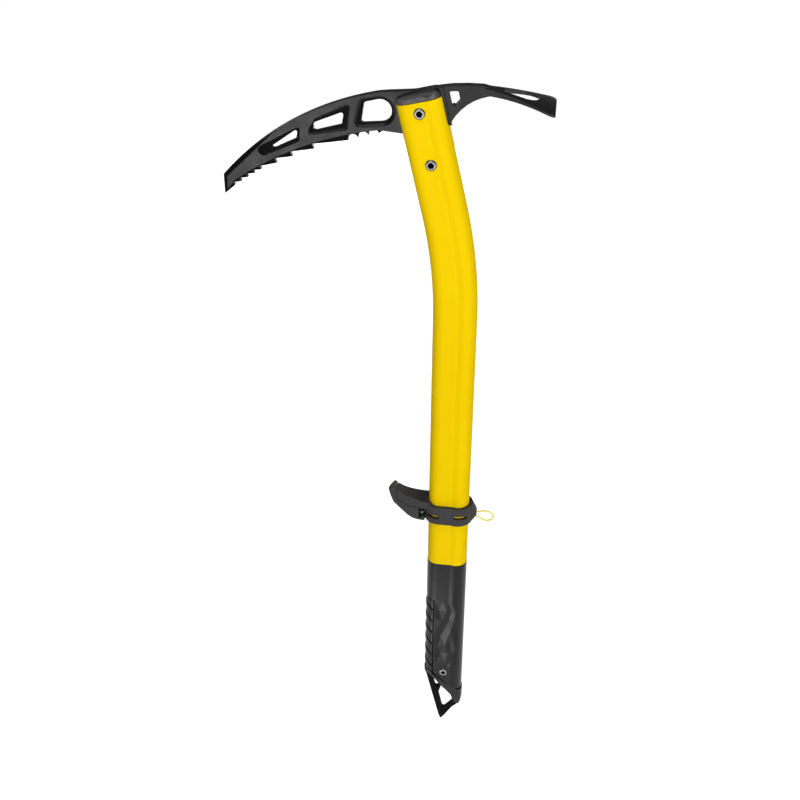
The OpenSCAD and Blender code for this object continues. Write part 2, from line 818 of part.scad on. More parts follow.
// Facets on each side of the grip: one shallow cut whose corners have their own depths
module facet_cuts() {
    rows = len(facet_rows) - 1;
    corners = [for (row = facet_rows) for (c = row[1]) [c[0], c[1] - grip_half(c[0]), row[0]]];
    n = len(corners);
    side_y = rear_r + grip_proud + lap;
    faces = [for (i = [0:rows - 1]) each row_strip(i)];
    rim = concat([for (i = [0:rows]) row_start(i)], [for (k = [row_start(rows) + 1:n - 1]) k],
        [for (i = [rows - 1:-1:0]) row_start(i + 1) - 1], [for (k = [row_start(1) - 2:-1:1]) k]);
    edges = [for (k = [0:len(rim) - 1]) [rim[k], rim[(k + 1) % len(rim)]]];
    for (side = [0, 1])
        mirror([0, side, 0])
            polyhedron(
                concat(corners, [for (c = corners) [c.x, -side_y, c.z]]),
                concat(faces,
                    [for (f = faces) [f[2] + n, f[1] + n, f[0] + n]],
                    [for (e = edges) each [[e[0], e[0] + n, e[1]], [e[1], e[0] + n, e[1] + n]]]),
                convexity = 6);
}

// Groove over the seam between the grip and its ribbed strip
module seam_groove() {
    difference() {
        translate([strip_edge - seam_w / 2, -reach / 2, 0])
            cube([seam_w, reach, strip_top]);
        linear_extrude(2 * grip_top)
            shaft_section(grip_proud - seam_deep);
    }
}

// Seats of the rivet's rims on the grip
module rivet_seats() {
    for (side = [0, 1])
        mirror([0, side, 0])
            translate([rivet_x, -rivet_seat, rivet_z])
                rotate([90, 0, 0])
                    cylinder(d = rivet_rim_d + 2 * fit, h = reach);
}

// Dip of the grip's front edge down to the first rib
module sleeve_dip() {
    low = [-shaft_w / 2 - grip_proud - rib_proud + rib_bow, strip_top];
    high = [-shaft_w / 2 - grip_proud, strip_top + strip_dip];
    plate(reach)
        polygon([beyond(high, low), beyond(low, high), [-reach, high.y], [-reach, low.y]]);
}

module grip_sleeve() {
    color("#2f3032")
        difference() {
            linear_extrude(grip_top - fit)
                shaft_section(grip_proud);
            translate([0, 0, -lap])
                linear_extrude(grip_top + lap)
                    shaft_section(-neck_in + fit);
            below_hem(fit);
            strip_space(0);
            sleeve_dip();
            facet_cuts();
            seam_groove();
            rivet_seats();
            rivet_hole(rivet_d + shank_gap);
        }
}

// Side view of the strip: one bow for each rib
module rib_outline() {
    front = -shaft_w / 2 - grip_proud - rib_proud;
    polygon(concat(
        [for (k = [0:rib_count - 1]) for (i = [0:rib_steps])
            let (t = (i + hair) / (rib_steps + 2 * hair), q = 2 * t - 1)
            [front + rib_bow * q * q, strip_top - (k + t) * rib_pitch]],
        [[front + rib_bow, 0], [0, 0], [0, strip_top]]));
}

// Slanting grooves on both sides of the ribs, with the strip's very front left bare
module rib_grooves() {
    end_x = strip_edge - strip_rim;
    run = (end_x + shaft_w / 2 + grip_proud + rib_proud + lap) / cos(rib_slant);
    difference() {
        for (side = [0, 1], k = [1:rib_count])
            mirror([0, side, 0])
                translate([end_x, rib_bare, strip_top - k * rib_pitch + rib_rise])
                    rotate([0, rib_slant, 0])
                        translate([-run, 0, -rib_groove / 2])
                            cube([run, reach, rib_groove]);
        translate([-rib_proud, 0, 0])
            linear_extrude(grip_top)
                shaft_section(grip_proud - rib_deep);
    }
}

module rib_strip() {
    color("#26272a")
        difference() {
            intersection() {
                translate([-rib_proud, 0, 0])
                    linear_extrude(grip_top)
                        shaft_section(grip_proud);
                strip_space(fit);
                plate(reach)
                    rib_outline();
            }
            translate([0, 0, -lap])
                linear_extrude(grip_top + 2 * lap)
                    shaft_section(-neck_in + fit);
            below_hem(fit);
            seam_groove();
            rib_grooves();
        }
}

// Side view of the ferrule: its band along the hem and the nose behind the spike's opening
module ferrule_outline() {
    polygon(concat(hem_line(0), nose, [for (p = ferrule_low) [p.x, hem_z + p.y]]));
}

// Grip end thins towards the spike
module end_taper() {
    top = rear_r + ferrule_proud + lap;
    rotate([90, 0, 90])
        linear_extrude(2 * reach, center = true)
            polygon([[-taper_low, taper_z], [taper_low, taper_z], [top, taper_top_z], [-top, taper_top_z]]);
}

// Outline of the spike and its tang, grown to each side
function spike_points(grow) = concat(
    [for (p = spike_edge) p + [p.x > 0 ? grow : -grow, 0]],
    [for (p = [[1, hem_z - 11], [1, tang_top], [-1, tang_top], [-1, hem_z + 4]])
        [p.x * (neck_half + grow), p.y]]);

module spike_outline() {
    difference() {
        polygon(spike_points(0));
        belt_shape(spike_hole);
        belt_shape(upper_hole);
    }
}

module end_ferrule() {
    color("#2b2c2e")
        difference() {
            intersection() {
                linear_extrude(2 * reach)
                    shaft_section(ferrule_proud);
                plate(reach)
                    ferrule_outline();
                end_taper();
            }
            plate(spike_t + 2 * fit)
                polygon(spike_points(fit));
            difference() {
                below_hem(-bead_h);
                translate([-reach, -rim_half, 0])
                    cube([2 * reach, 2 * rim_half, 2 * reach]);
            }
        }
}

// A shim fills one side of the necked tube beside the spike's tang
module tang_shim() {
    color("#2b2c2e")
        difference() {
            linear_extrude(shim_top)
                shaft_section(-neck_in - shaft_wall - fit);
            below_hem(fit);
            translate([-reach, -spike_t / 2 - fit, -lap])
                cube([2 * reach, reach, shim_top + 2 * lap]);
            rivet_hole(rivet_d + shank_gap);
        }
}

module near_tang_shim() {
    tang_shim();
}

module far_tang_shim() {
    mirror([0, 1, 0])
        tang_shim();
}

// Wedge that thins the spike towards its tip
module tip_wedge() {
    side = spike_t / 2 + lap;
    rotate([90, 0, 90])
        linear_extrude(2 * reach, center = true)
            polygon([[-tip_edge, -lap], [tip_edge, -lap], [side, tip_wedge_z], [side, tang_top + lap],
                [-side, tang_top + lap], [-side, tip_wedge_z]]);
}

module spike() {
    color("#161718")
        difference() {
            intersection() {
                plate(spike_t)
                    spike_outline();
                tip_wedge();
            }
            rivet_hole(rivet_d + shank_gap);
        }
}

// Tubular rivet with a rolled rim on each side
module grip_rivet() {
    rim = rivet_rim_d / 2;
    color("silver")
        translate([rivet_x, 0, rivet_z])
            rotate([90, 0, 0])
                difference() {
                    union() {
                        cylinder(d = rivet_d, h = 2 * rivet_seat + lap, center = true);
                        for (side = [0, 1])
                            mirror([0, 0, side])
                                translate([0, 0, rivet_seat])
                                    cylinder(rivet_rim_h, rim, rim - rivet_bevel);
                    }
                    cylinder(d = rivet_bore, h = reach, center = true);
                }
}

// Plan of the trigger, tapering to its rounded tip
module trigger_plan() {
    half = trigger_w / 2 - trigger_corner;
    tip = trigger_tip_w / 2;
    linear_extrude(2 * reach, center = true)
        belt_shape([[trigger_tip_x + tip, 0, tip], [trigger_root_x, -half, trigger_corner],
            [trigger_root_x, half, trigger_corner]]);
}

// Half width of that plan at the hinge
pin_half = trigger_w / 2 - (trigger_w - trigger_tip_w) / 2 * (pin_at.x - trigger_root_x)
    / (trigger_tip_x + trigger_tip_w / 2 - trigger_root_x);

// Frame of a cross pin of the trigger
module across(p) {
    translate([p.x, 0, p.y])
        rotate([90, 0, 0])
            children();
}

// Fine grooves across the saddle's top near the shaft
module saddle_cuts() {
    for (x = saddle_grooves) {
        z = lookup(x, saddle_top);
        plate(reach)
            polygon(moved(front_x, [[x - saddle_groove[0], z + saddle_groove[1]], [x, z - saddle_groove[1]],
                [x + saddle_groove[0], z + saddle_groove[1]]]));
    }
}

module trigger_band() {
    half = band_h / 2;
    color("#2a2b2d")
        at_trigger()
            difference() {
                union() {
                    linear_extrude(band_h, center = true)
                        shaft_section(band_gap + band_t);
                    intersection() {
                        plate(reach)
                            polygon(moved(front_x, concat(saddle_top, saddle_low)));
                        trigger_plan();
                    }
                    plate(tongue_w) {
                        translate(catch_at)
                            circle(r = tongue_r);
                        translate([catch_at.x - tongue_r, catch_at.y])
                            square([tongue_r - catch_at.x + front_c, tongue_top - catch_at.y]);
                        translate([catch_at.x, catch_at.y - tongue_r])
                            square([front_c - catch_at.x, 2 * tongue_r]);
                    }
                    plate(2 * lug_half) {
                        translate(pin_at)
                            circle(r = knuckle_r);
                        translate(pin_at - [0, lug_h / 2])
                            square([front_c - pin_at.x, lug_h]);
                    }
                    intersection() {
                        plate(reach)
                            polygon(concat([[nub_in, -half], [nub_in, half]], moved(rear_x, nub_out)));
                        linear_extrude(2 * reach, center = true)
                            belt_shape([[rear_x + nub_tip_x, 0, nub_tip_r], [nub_in, nub_root_y, nub_root_r],
                                [nub_in, -nub_root_y, nub_root_r]]);
                    }
                }
                linear_extrude(2 * reach, center = true)
                    shaft_section(band_gap);
                for (s = slots)
                    plate(reach)
                        belt_shape([[s[0] + slot_h / 2, s[2], slot_h / 2],
                            [s[1] - slot_h / 2, s[2], slot_h / 2]]);
                saddle_cuts();
                across(catch_at)
                    cylinder(d = catch_d + shank_gap, h = reach, center = true);
                across(pin_at)
                    cylinder(d = pin_d + shank_gap, h = reach, center = true);
                translate([knot_at.x, 0, knot_at.y])
                    cylinder(r = knot_r + knot_gap, h = knot_len + 2 * knot_gap, center = true);
                translate([0, -knot_r - knot_gap, knot_at.y - knot_len / 2 - knot_gap])
                    cube([knot_at.x, 2 * knot_r + 2 * knot_gap, knot_len + 2 * knot_gap]);
                for (end = [cord_path[0], cord_path[len(cord_path) - 1]])
                    translate([knot_at.x, 0, end.y])
                        rotate([0, 90, 0])
                            cylinder(d = cord_d + 2 * cord_gap, h = reach);
            }
}

// The lever: its body in front of the notch and a lip that ends in two knuckles
module trigger_lever() {
    slack = lug_half + fork_gap;
    color("#333436")
        at_trigger()
            difference() {
                intersection() {
                    plate(reach) {
                        polygon(concat(moved(front_x, lever_out),
                            [pin_at - [0, knuckle_r], [pin_at.x, lip_top], [front_x + notch_x, lip_top]],
                            moved(front_x, lever_in)));
                        translate(pin_at)
                            circle(r = knuckle_r);
                    }
                    trigger_plan();
                }
                plate(2 * slack) {
                    translate(pin_at)
                        circle(r = knuckle_r + fork_gap);
                    translate(pin_at - [0, 2 * knuckle_r])
                        square(4 * knuckle_r);
                }
                across(pin_at)
                    cylinder(d = pin_d + 2 * shank_gap, h = 2 * (pin_half - pin_short + fit), center = true);
            }
}

// Hidden hinge pin of the lever
module lever_pin() {
    color("silver")
        at_trigger()
            across(pin_at)
                cylinder(d = pin_d, h = 2 * (pin_half - pin_short), center = true);
}

// Bright cross pin that shows in the lever's notch
module catch_pin() {
    color("silver")
        at_trigger()
            across(catch_at)
                cylinder(d = catch_d, h = 2 * catch_half, center = true);
}

// Round tube along points of the X-Z plane
function tube_ring(path, i, r) =
    let (a = path[max(0, i - 1)], b = path[min(len(path) - 1, i + 1)], d = (b - a) / norm(b - a))
    [for (k = [0:cord_sides - 1]) let (w = 360 * k / cord_sides)
        [path[i].x - d.y * r * cos(w), -r * sin(w), path[i].y + d.x * r * cos(w)]];

module pull_cord() {
    color("#f4e86a")
        at_trigger()
            loft([for (i = [0:len(cord_path) - 1]) tube_ring(cord_path, i, cord_d / 2)]);
}

module cord_knot() {
    color("#f4e86a")
        at_trigger()
            translate([knot_at.x, 0, knot_at.y]) {
                cylinder(r = knot_r, h = knot_len - knot_r, center = true);
                cylinder(r = knot_r - knot_round, h = knot_len, center = true);
            }
}

placed() shaft();
placed() head();
placed() near_head_cheek();
placed() far_head_cheek();
placed() upper_head_bolt();
placed() lower_head_bolt();
placed() upper_barrel_nut();
placed() lower_barrel_nut();
placed() grip_sleeve();
placed() rib_strip();
placed() end_ferrule();
placed() spike();
placed() near_tang_shim();
placed() far_tang_shim();
placed() grip_rivet();
placed() trigger_band();
placed() trigger_lever();
placed() lever_pin();
placed() catch_pin();
placed() pull_cord();
placed() cord_knot();
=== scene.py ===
# %% [markdown]
# # An ice axe in the studio
# The model is an ice axe with a bent tube shaft, a forged head, a ribbed grip with a spike, and a
# finger trigger that slides on the shaft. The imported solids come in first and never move.
# Everything below either gives one of them a finish or puts a finer piece in its place.

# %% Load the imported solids
import json
import math
import bpy
from mathutils import Matrix, Vector


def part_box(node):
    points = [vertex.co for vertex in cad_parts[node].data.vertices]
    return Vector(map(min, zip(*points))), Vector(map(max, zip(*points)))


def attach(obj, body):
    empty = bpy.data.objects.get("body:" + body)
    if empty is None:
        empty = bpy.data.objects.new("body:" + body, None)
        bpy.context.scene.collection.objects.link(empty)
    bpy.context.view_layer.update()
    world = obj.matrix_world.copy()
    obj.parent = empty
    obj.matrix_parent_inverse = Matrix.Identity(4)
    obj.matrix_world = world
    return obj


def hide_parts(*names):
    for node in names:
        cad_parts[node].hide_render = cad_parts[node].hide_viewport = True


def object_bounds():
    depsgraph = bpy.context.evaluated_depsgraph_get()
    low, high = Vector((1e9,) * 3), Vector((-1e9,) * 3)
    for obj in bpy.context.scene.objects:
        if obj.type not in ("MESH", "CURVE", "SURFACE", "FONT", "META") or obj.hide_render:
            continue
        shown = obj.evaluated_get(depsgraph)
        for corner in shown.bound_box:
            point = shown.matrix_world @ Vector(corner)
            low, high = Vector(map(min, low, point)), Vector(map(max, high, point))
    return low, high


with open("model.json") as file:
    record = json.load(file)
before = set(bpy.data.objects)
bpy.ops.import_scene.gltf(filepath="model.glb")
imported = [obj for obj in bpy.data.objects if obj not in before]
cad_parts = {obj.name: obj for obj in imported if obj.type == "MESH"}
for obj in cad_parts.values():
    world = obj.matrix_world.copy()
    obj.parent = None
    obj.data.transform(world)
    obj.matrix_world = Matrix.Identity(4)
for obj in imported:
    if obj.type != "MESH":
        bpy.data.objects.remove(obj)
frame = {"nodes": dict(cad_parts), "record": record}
nodes = frame["nodes"]
cad_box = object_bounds()
scene = bpy.context.scene
MM = 0.001


def in_mm(place):
    """A place or a size in millimetres, rounded for printing."""
    return [round(part / MM, 1) for part in place]


print("nodes:", len(nodes), "box in mm:", in_mm(cad_box[1] - cad_box[0]))

# %% [markdown]
# ## The camera
# The photograph looks down at the axe from a little more than half a metre, so the grip is seen more
# from above than the head. The place, the angles and the focal length were found by fitting the
# straight edges of the shaft. A Track To constraint could aim the camera, but it would keep it level,
# and the photograph is turned a little. So the camera's three directions are worked out.

# %% Place the camera
PHOTO_SIDE_PX = 800
FOCAL_PX = 1111
SENSOR_MM = 36
NEAREST, FURTHEST = 0.01, 100
CAMERA_AT_MM = Vector((104.4, -654.0, 199.5))
AZIMUTH = math.radians(8)
ELEVATION = math.radians(31.4)
ROLL = math.radians(0.25)


def camera_axes(azimuth, elevation, roll):
    """The camera's own right, up and back directions."""
    right = Vector((math.cos(azimuth), math.sin(azimuth), 0))
    back = Vector((
        math.sin(azimuth) * math.cos(elevation),
        -math.cos(azimuth) * math.cos(elevation),
        math.sin(elevation)))
    up = back.cross(right)
    rolled_right = right * math.cos(roll) + up * math.sin(roll)
    rolled_up = up * math.cos(roll) - right * math.sin(roll)
    return rolled_right, rolled_up, back


lens_data = bpy.data.cameras.new("studio_camera")
lens_data.sensor_width = SENSOR_MM
lens_data.lens = SENSOR_MM * FOCAL_PX / PHOTO_SIDE_PX
lens_data.clip_start = NEAREST
lens_data.clip_end = FURTHEST
camera = bpy.data.objects.new("studio_camera", lens_data)
scene.collection.objects.link(camera)
camera.rotation_euler = Matrix(camera_axes(AZIMUTH, ELEVATION, ROLL)).transposed().to_euler()
camera.location = CAMERA_AT_MM * MM
bpy.context.scene.camera = camera
print("lens in mm:", round(lens_data.lens, 2))

# %% [markdown]
# ## The floor's paper
# The axe was shot on pure white. More light would turn a floor white too, but it would wash out the
# yellow with it. So the floor is pale paper that glows a little where it is seen straight from the
# camera, in a mirror or through glass. It reads white and still takes a soft shadow.

# %% Mix the paper
PAPER_WHITE, PAPER_ROUGHNESS = 0.86, 0.9
FLOOR_GLOW = 0.9


def grey(level):
    """A colour without a hue."""
    return (level, level, level)


def add_node(material, kind, **values):
    """A new shader node, with its settings and the values of its inputs."""
    node = material.node_tree.nodes.new(kind)
    for name, value in values.items():
        if name in node.inputs:
            node.inputs[name].default_value = value
        else:
            setattr(node, name, value)
    return node


def join(material, source, target):
    """A link from an output to an input."""
    material.node_tree.links.new(source, target)


def seen_directly(material):
    """An output that is 1 for what the camera sees, straight or in a mirror or glass."""
    path = add_node(material, "ShaderNodeLightPath")
    first = add_node(material, "ShaderNodeMath", operation="MAXIMUM")
    second = add_node(material, "ShaderNodeMath", operation="MAXIMUM")
    join(material, path.outputs["Is Camera Ray"], first.inputs[0])
    join(material, path.outputs["Is Glossy Ray"], first.inputs[1])
    join(material, first.outputs[0], second.inputs[0])
    join(material, path.outputs["Is Transmission Ray"], second.inputs[1])
    return second.outputs[0]


def studio_paper():
    """Pale paper that glows enough towards the camera to read as white."""
    material = bpy.data.materials.new("studio_paper")
    material.use_nodes = True
    shader = material.node_tree.nodes["Principled BSDF"]
    shader.inputs["Base Color"].default_value = (*grey(PAPER_WHITE), 1)
    shader.inputs["Roughness"].default_value = PAPER_ROUGHNESS
    shader.inputs["Specular IOR Level"].default_value = 0.0
    shader.inputs["Emission Color"].default_value = (*grey(1), 1)
    glow = add_node(material, "ShaderNodeMath", operation="MULTIPLY")
    glow.inputs[1].default_value = FLOOR_GLOW
    join(material, seen_directly(material), glow.inputs[0])
    join(material, glow.outputs[0], shader.inputs["Emission Strength"])
    return material


paper = studio_paper()
print("floor finish:", paper.name)

# %% [markdown]
# The paper lies just under the tip of the spike. A roll of paper that curves up behind the axe is the
# usual way in a studio. Seen from this high, the floor alone fills the picture, so a plane is enough.

# %% Lay the floor
FLOOR_SIZE = 14
FLOOR_GAP_MM = 0.5
FLOOR_Z = cad_box[0].z - FLOOR_GAP_MM * MM
bpy.ops.object.select_all(action="DESELECT")
bpy.ops.mesh.primitive_plane_add(size=FLOOR_SIZE, location=(0, 0, FLOOR_Z))
floor = bpy.context.object
floor.name = "studio_floor"
floor.data.materials.append(paper)
print("floor at", round(FLOOR_Z / MM, 1), "mm")

# %% [markdown]
# ## The lamps
# A broad softbox to the right of the camera lights the yellow, and a weak one overhead lifts the top of
# the trigger. Black metal shows only what it mirrors. The flats of the pick mirror the white floor and a
# low softbox with a grid, and a small lamp before the grip brings out its facets. Point lamps would
# leave hard glints there, so every lamp is a rectangle.
#
# The room above is dim, so edges that face upwards stay black. A last softbox stands low behind the axe,
# for views from the back.

# %% Hang the softboxes
WORLD_LIGHT = 0.15
NO_GRID, NARROW_GRID = 180, 60


def softbox(name, at, aim, width, height, power, spread=NO_GRID):
    """A soft rectangular lamp that points at a place, with a grid where its spread is narrow."""
    lamp = bpy.data.lights.new(name, "AREA")
    lamp.shape = "RECTANGLE"
    lamp.size = width
    lamp.size_y = height
    lamp.energy = power
    lamp.spread = math.radians(spread)
    box = bpy.data.objects.new(name, lamp)
    scene.collection.objects.link(box)
    box.location = at
    box.rotation_euler = (Vector(at) - Vector(aim)).to_track_quat("Z", "Y").to_euler()
    box.visible_camera = False
    return box


scene.view_settings.view_transform = "Standard"
world = bpy.data.worlds.new("studio_world")
world.use_nodes = True
world.node_tree.nodes["Background"].inputs["Color"].default_value = (*grey(1), 1)
world.node_tree.nodes["Background"].inputs["Strength"].default_value = WORLD_LIGHT
scene.world = world
softboxes = [
    softbox("key_softbox", at=(0.9, -1.3, -0.15), aim=(0, 0, -0.38), width=0.9, height=0.9, power=14.2),
    softbox("top_softbox", at=(-0.1, -0.5, 0.9), aim=(0, 0, -0.2), width=0.6, height=0.4, power=3.6),
    softbox("back_softbox", at=(0.3, 1.4, -0.33), aim=(0, 0, -0.3), width=1.2, height=0.3, power=6),
    softbox(
        "head_softbox", at=(-0.3, -0.85, -0.29), aim=(-0.06, 0, 0.02), width=0.42, height=0.2, power=0.28,
        spread=NARROW_GRID),
    softbox(
        "grip_softbox", at=(-0.01, -0.105, -0.497), aim=(0.05, 0, -0.41), width=0.09, height=0.03,
        power=0.08)]
print("softboxes:", len(softboxes), "power in watts:", round(sum(box.data.energy for box in softboxes), 2))

# %% [markdown]
# ## How a finish is mixed
# Each finish is one shader with its grain from noise on the object's own coordinates, so the pattern
# keeps its scale in millimetres. An image could carry the grain too, but it would need a file and a
# flat map of every piece.

# %% Tools for a finish and its grain
SLOTS = sorted({part["material_slot"] for part in frame["record"]["subparts"]})
FINISH = {}


def new_finish(name, colour, roughness, metallic=0.0):
    """A material and its shader, with the values that are the same all over."""
    material = bpy.data.materials.new(name)
    material.use_nodes = True
    shader = material.node_tree.nodes["Principled BSDF"]
    shader.inputs["Base Color"].default_value = (*colour, 1)
    shader.inputs["Roughness"].default_value = roughness
    shader.inputs["Metallic"].default_value = metallic
    return material, shader


def grain(material, size_mm, detail=2.0, stretch=(1, 1, 1)):
    """Noise whose cells are about size_mm across, finer along an axis where stretch is above 1."""
    place = add_node(material, "ShaderNodeTexCoord")
    turn = add_node(material, "ShaderNodeMapping")
    turn.inputs["Scale"].default_value = stretch
    noise = add_node(material, "ShaderNodeTexNoise", Scale=1 / (size_mm * MM), Detail=detail)
    join(material, place.outputs["Object"], turn.inputs["Vector"])
    join(material, turn.outputs["Vector"], noise.inputs["Vector"])
    return noise.outputs["Fac"]


print("finishes to mix:", SLOTS)

# %% [markdown]
# No real surface is the same all over. One value for its gloss and one for its colour would be simpler,
# and it would look like a sample card. So slow noise moves both between two values, and finer noise
# raises the micro surface as bump. Most of the noise lies in the middle of its range, so only that part
# is used.

# %% Tools that vary a finish
NOISE_LOW, NOISE_HIGH = 0.3, 0.7


def ranged(material, source, low, high):
    """A value that swings from low to high with the noise."""
    spread = add_node(material, "ShaderNodeMapRange")
    spread.inputs["From Min"].default_value = NOISE_LOW
    spread.inputs["From Max"].default_value = NOISE_HIGH
    spread.inputs["To Min"].default_value = low
    spread.inputs["To Max"].default_value = high
    join(material, source, spread.inputs["Value"])
    return spread.outputs["Result"]


def vary_roughness(material, shader, source, low, high):
    """Gloss that wanders between two roughnesses."""
    join(material, ranged(material, source, low, high), shader.inputs["Roughness"])


def vary_colour(material, shader, source, dark, light):
    """Colour that wanders between two shades."""
    blend = add_node(material, "ShaderNodeMix", data_type="RGBA")
    colours = [s for s in blend.inputs if s.type == "RGBA"]
    colours[0].default_value = (*dark, 1)
    colours[1].default_value = (*light, 1)
    join(material, ranged(material, source, 0, 1), blend.inputs["Factor"])
    result = [s for s in blend.outputs if s.type == "RGBA"][0]
    join(material, result, shader.inputs["Base Color"])


def raise_grain(material, shader, source, height_mm, strength=1.0):
    """Bump from a noise, with its real height."""
    bump = add_node(material, "ShaderNodeBump", Strength=strength, Distance=height_mm * MM)
    join(material, source, bump.inputs["Height"])
    join(material, bump.outputs["Normal"], shader.inputs["Normal"])


print("noise is used from", NOISE_LOW, "to", NOISE_HIGH)

# %% [markdown]
# ## The paint of the tube
# The aluminium tube has a smooth yellow coat, nearly even in colour. A glossy shader would draw the
# softboxes as white streaks along it, which the photograph doesn't show. So the coat has a low specular
# level, and only a slow change of shade and a very fine bump keep it from looking flat.


# %% Mix the yellow coat
def yellow_coat():
    """Smooth bright coat on the aluminium tube."""
    material, shader = new_finish("yellow_coat", (0.95, 0.65, 0.001), 0.3)
    vary_colour(material, shader, grain(material, 40), (0.94, 0.635, 0.001), (0.96, 0.665, 0.001))
    vary_roughness(material, shader, grain(material, 14, 4), 0.45, 0.52)
    raise_grain(material, shader, grain(material, 1.1), 0.004, 0.5)
    shader.inputs["Specular IOR Level"].default_value = 0.02
    return material


FINISH["shaft_paint"] = yellow_coat()
print("paint:", FINISH["shaft_paint"].name)

# %% [markdown]
# ## Black steel
# The head is forged hot, and the scale of the forging shows through its satin black coat as an uneven
# grain. The spike is cut from plate, so its coat is flatter and blacker. A metallic shader would suit
# bare steel. A coat hides the metal, so both are dark and not metallic, with the grain as bump.


# %% Mix the black coats
def black_forging():
    """Satin black coat over the scale of a hot forging."""
    material, shader = new_finish("black_forging", grey(0.005), 0.36)
    vary_colour(material, shader, grain(material, 1.6, 6), grey(0.004), grey(0.008))
    vary_roughness(material, shader, grain(material, 6, 6), 0.32, 0.42)
    raise_grain(material, shader, grain(material, 1.2, 6), 0.03, 0.9)
    shader.inputs["Specular IOR Level"].default_value = 0.24
    return material


def black_plate():
    """Blacker satin coat on the cut spike plate."""
    material, shader = new_finish("black_plate", grey(0.004), 0.6)
    vary_colour(material, shader, grain(material, 2, 5), grey(0.002), grey(0.005))
    vary_roughness(material, shader, grain(material, 5, 5), 0.55, 0.68)
    raise_grain(material, shader, grain(material, 0.4, 4), 0.015, 0.6)
    shader.inputs["Specular IOR Level"].default_value = 0.04
    return material


FINISH["forged_black"] = black_forging()
FINISH["spike_steel"] = black_plate()
print("steel coats:", FINISH["forged_black"].name, FINISH["spike_steel"].name)

# %% [markdown]
# ## Plastic and rubber
# The cap, the trigger and the ferrule are charcoal plastic from moulds with a fine spark-eroded grain.
# They differ only in shade and gloss, so one function mixes all three. The grip is a dry black rubber
# with a finer grain, and it has a function of its own.


# %% Mix the plastics and the rubber
def grained_plastic(name, dark, light, gloss):
    """Charcoal moulded plastic with a fine spark-eroded grain."""
    material, shader = new_finish(name, dark, 0.5)
    vary_colour(material, shader, grain(material, 0.9, 5), dark, light)
    vary_roughness(material, shader, grain(material, 3, 4), 0.44, 0.56)
    raise_grain(material, shader, grain(material, 0.35, 3), 0.03, 0.8)
    shader.inputs["Specular IOR Level"].default_value = gloss
    return material


def grip_rubber():
    """Dry black rubber of the grip."""
    material, shader = new_finish("grip_rubber", grey(0.005), 0.36)
    vary_colour(material, shader, grain(material, 3, 5), grey(0.004), grey(0.007))
    vary_roughness(material, shader, grain(material, 2, 4), 0.3, 0.36)
    raise_grain(material, shader, grain(material, 0.3, 3), 0.012, 0.6)
    shader.inputs["Specular IOR Level"].default_value = 0.18
    return material


FINISH["cap_plastic"] = grained_plastic("cap_plastic", grey(0.014), grey(0.022), 0.7)
FINISH["trigger_plastic"] = grained_plastic("trigger_plastic", grey(0.044), grey(0.056), 0.08)
FINISH["grip_rubber"] = grip_rubber()
FERRULE_FINISH = grained_plastic("ferrule_plastic", grey(0.008), grey(0.014), 0.22)
print("ferrule finish:", FERRULE_FINISH.name)

# %% [markdown]
# ## Bright steel and dark holes
# The bolts, the pins and the rivet are turned from bright steel, so this one is a metallic shader. Its
# noise is finest along Y, the axis of all these parts, and that leaves faint marks round them as a
# lathe does. The shade in their holes is painted, nearly black, with hardly any gloss, in a finish of
# its own.


# %% Mix the bright steel and the shade of the holes
def bright_steel():
    """Polished steel of the bolts, pins and rivet."""
    material, shader = new_finish("bright_steel", (0.17, 0.17, 0.175), 0.3, 1.0)
    vary_roughness(material, shader, grain(material, 0.8, 4), 0.24, 0.38)
    raise_grain(material, shader, grain(material, 0.25, 2, (1, 6, 1)), 0.006, 0.4)
    return material


def painted_shade():
    """Painted shade inside a socket, a rivet's bore or a tight joint."""
    material, shader = new_finish("painted_shade", grey(0.002), 0.8)
    vary_colour(material, shader, grain(material, 0.6, 3), grey(0.001), grey(0.004))
    shader.inputs["Specular IOR Level"].default_value = 0.01
    return material


FINISH["bright_steel"] = bright_steel()
# The finish of painted shade, for the holes and for the hem joint.
PAINTED_SHADE_FINISH = painted_shade()
print("fasteners:", FINISH["bright_steel"].name, "holes:", PAINTED_SHADE_FINISH.name)

# %% [markdown]
# ## The braid of the cord
# The pull cord is a thin braid in a pale lemon yellow. Its strands are far too fine to model one by one,
# so a diagonal wave raises them as bump, and a little sheen stands for the loose fibres.

# %% Mix the cord's finish
BRAID_SCALE, BRAID_WANDER = 1400, 1.5


def lemon_cord():
    """Thin braided cord in a pale yellow, with strands that slant across it."""
    material, shader = new_finish("lemon_cord", (0.95, 0.86, 0.14), 0.62)
    vary_colour(material, shader, grain(material, 0.5, 2), (0.92, 0.82, 0.1), (0.97, 0.89, 0.18))
    place = add_node(material, "ShaderNodeTexCoord")
    braid = add_node(
        material, "ShaderNodeTexWave", bands_direction="DIAGONAL", Scale=BRAID_SCALE,
        Distortion=BRAID_WANDER)
    join(material, place.outputs["Object"], braid.inputs["Vector"])
    raise_grain(material, shader, braid.outputs["Fac"], 0.02, 0.3)
    shader.inputs["Sheen Weight"].default_value = 0.2
    return material


FINISH["cord_yellow"] = lemon_cord()
print("finishes:", sorted(FINISH))

# %% [markdown]
# ## From solid to piece
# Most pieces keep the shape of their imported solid, whose mesh is loose triangles. Each starts as a copy
# with its triangles joined and its flats made whole again. The finished piece then stands for the solid,
# which stays behind it for collision. Modelling these pieces a second time would only add errors in size.

# %% Tools for the pieces
WELD_MM = 0.1
FLAT_WITHIN = math.radians(0.6)
SLOT_OF = {part["node"]: part["material_slot"] for part in frame["record"]["subparts"]}
BODY_OF = {
    node: body
    for body, members in frame["record"]["behaviour"]["bodies"].items()
    for node in members}


def only(piece):
    """Select one piece and make it the active one."""
    bpy.ops.object.select_all(action="DESELECT")
    piece.select_set(True)
    bpy.context.view_layer.objects.active = piece


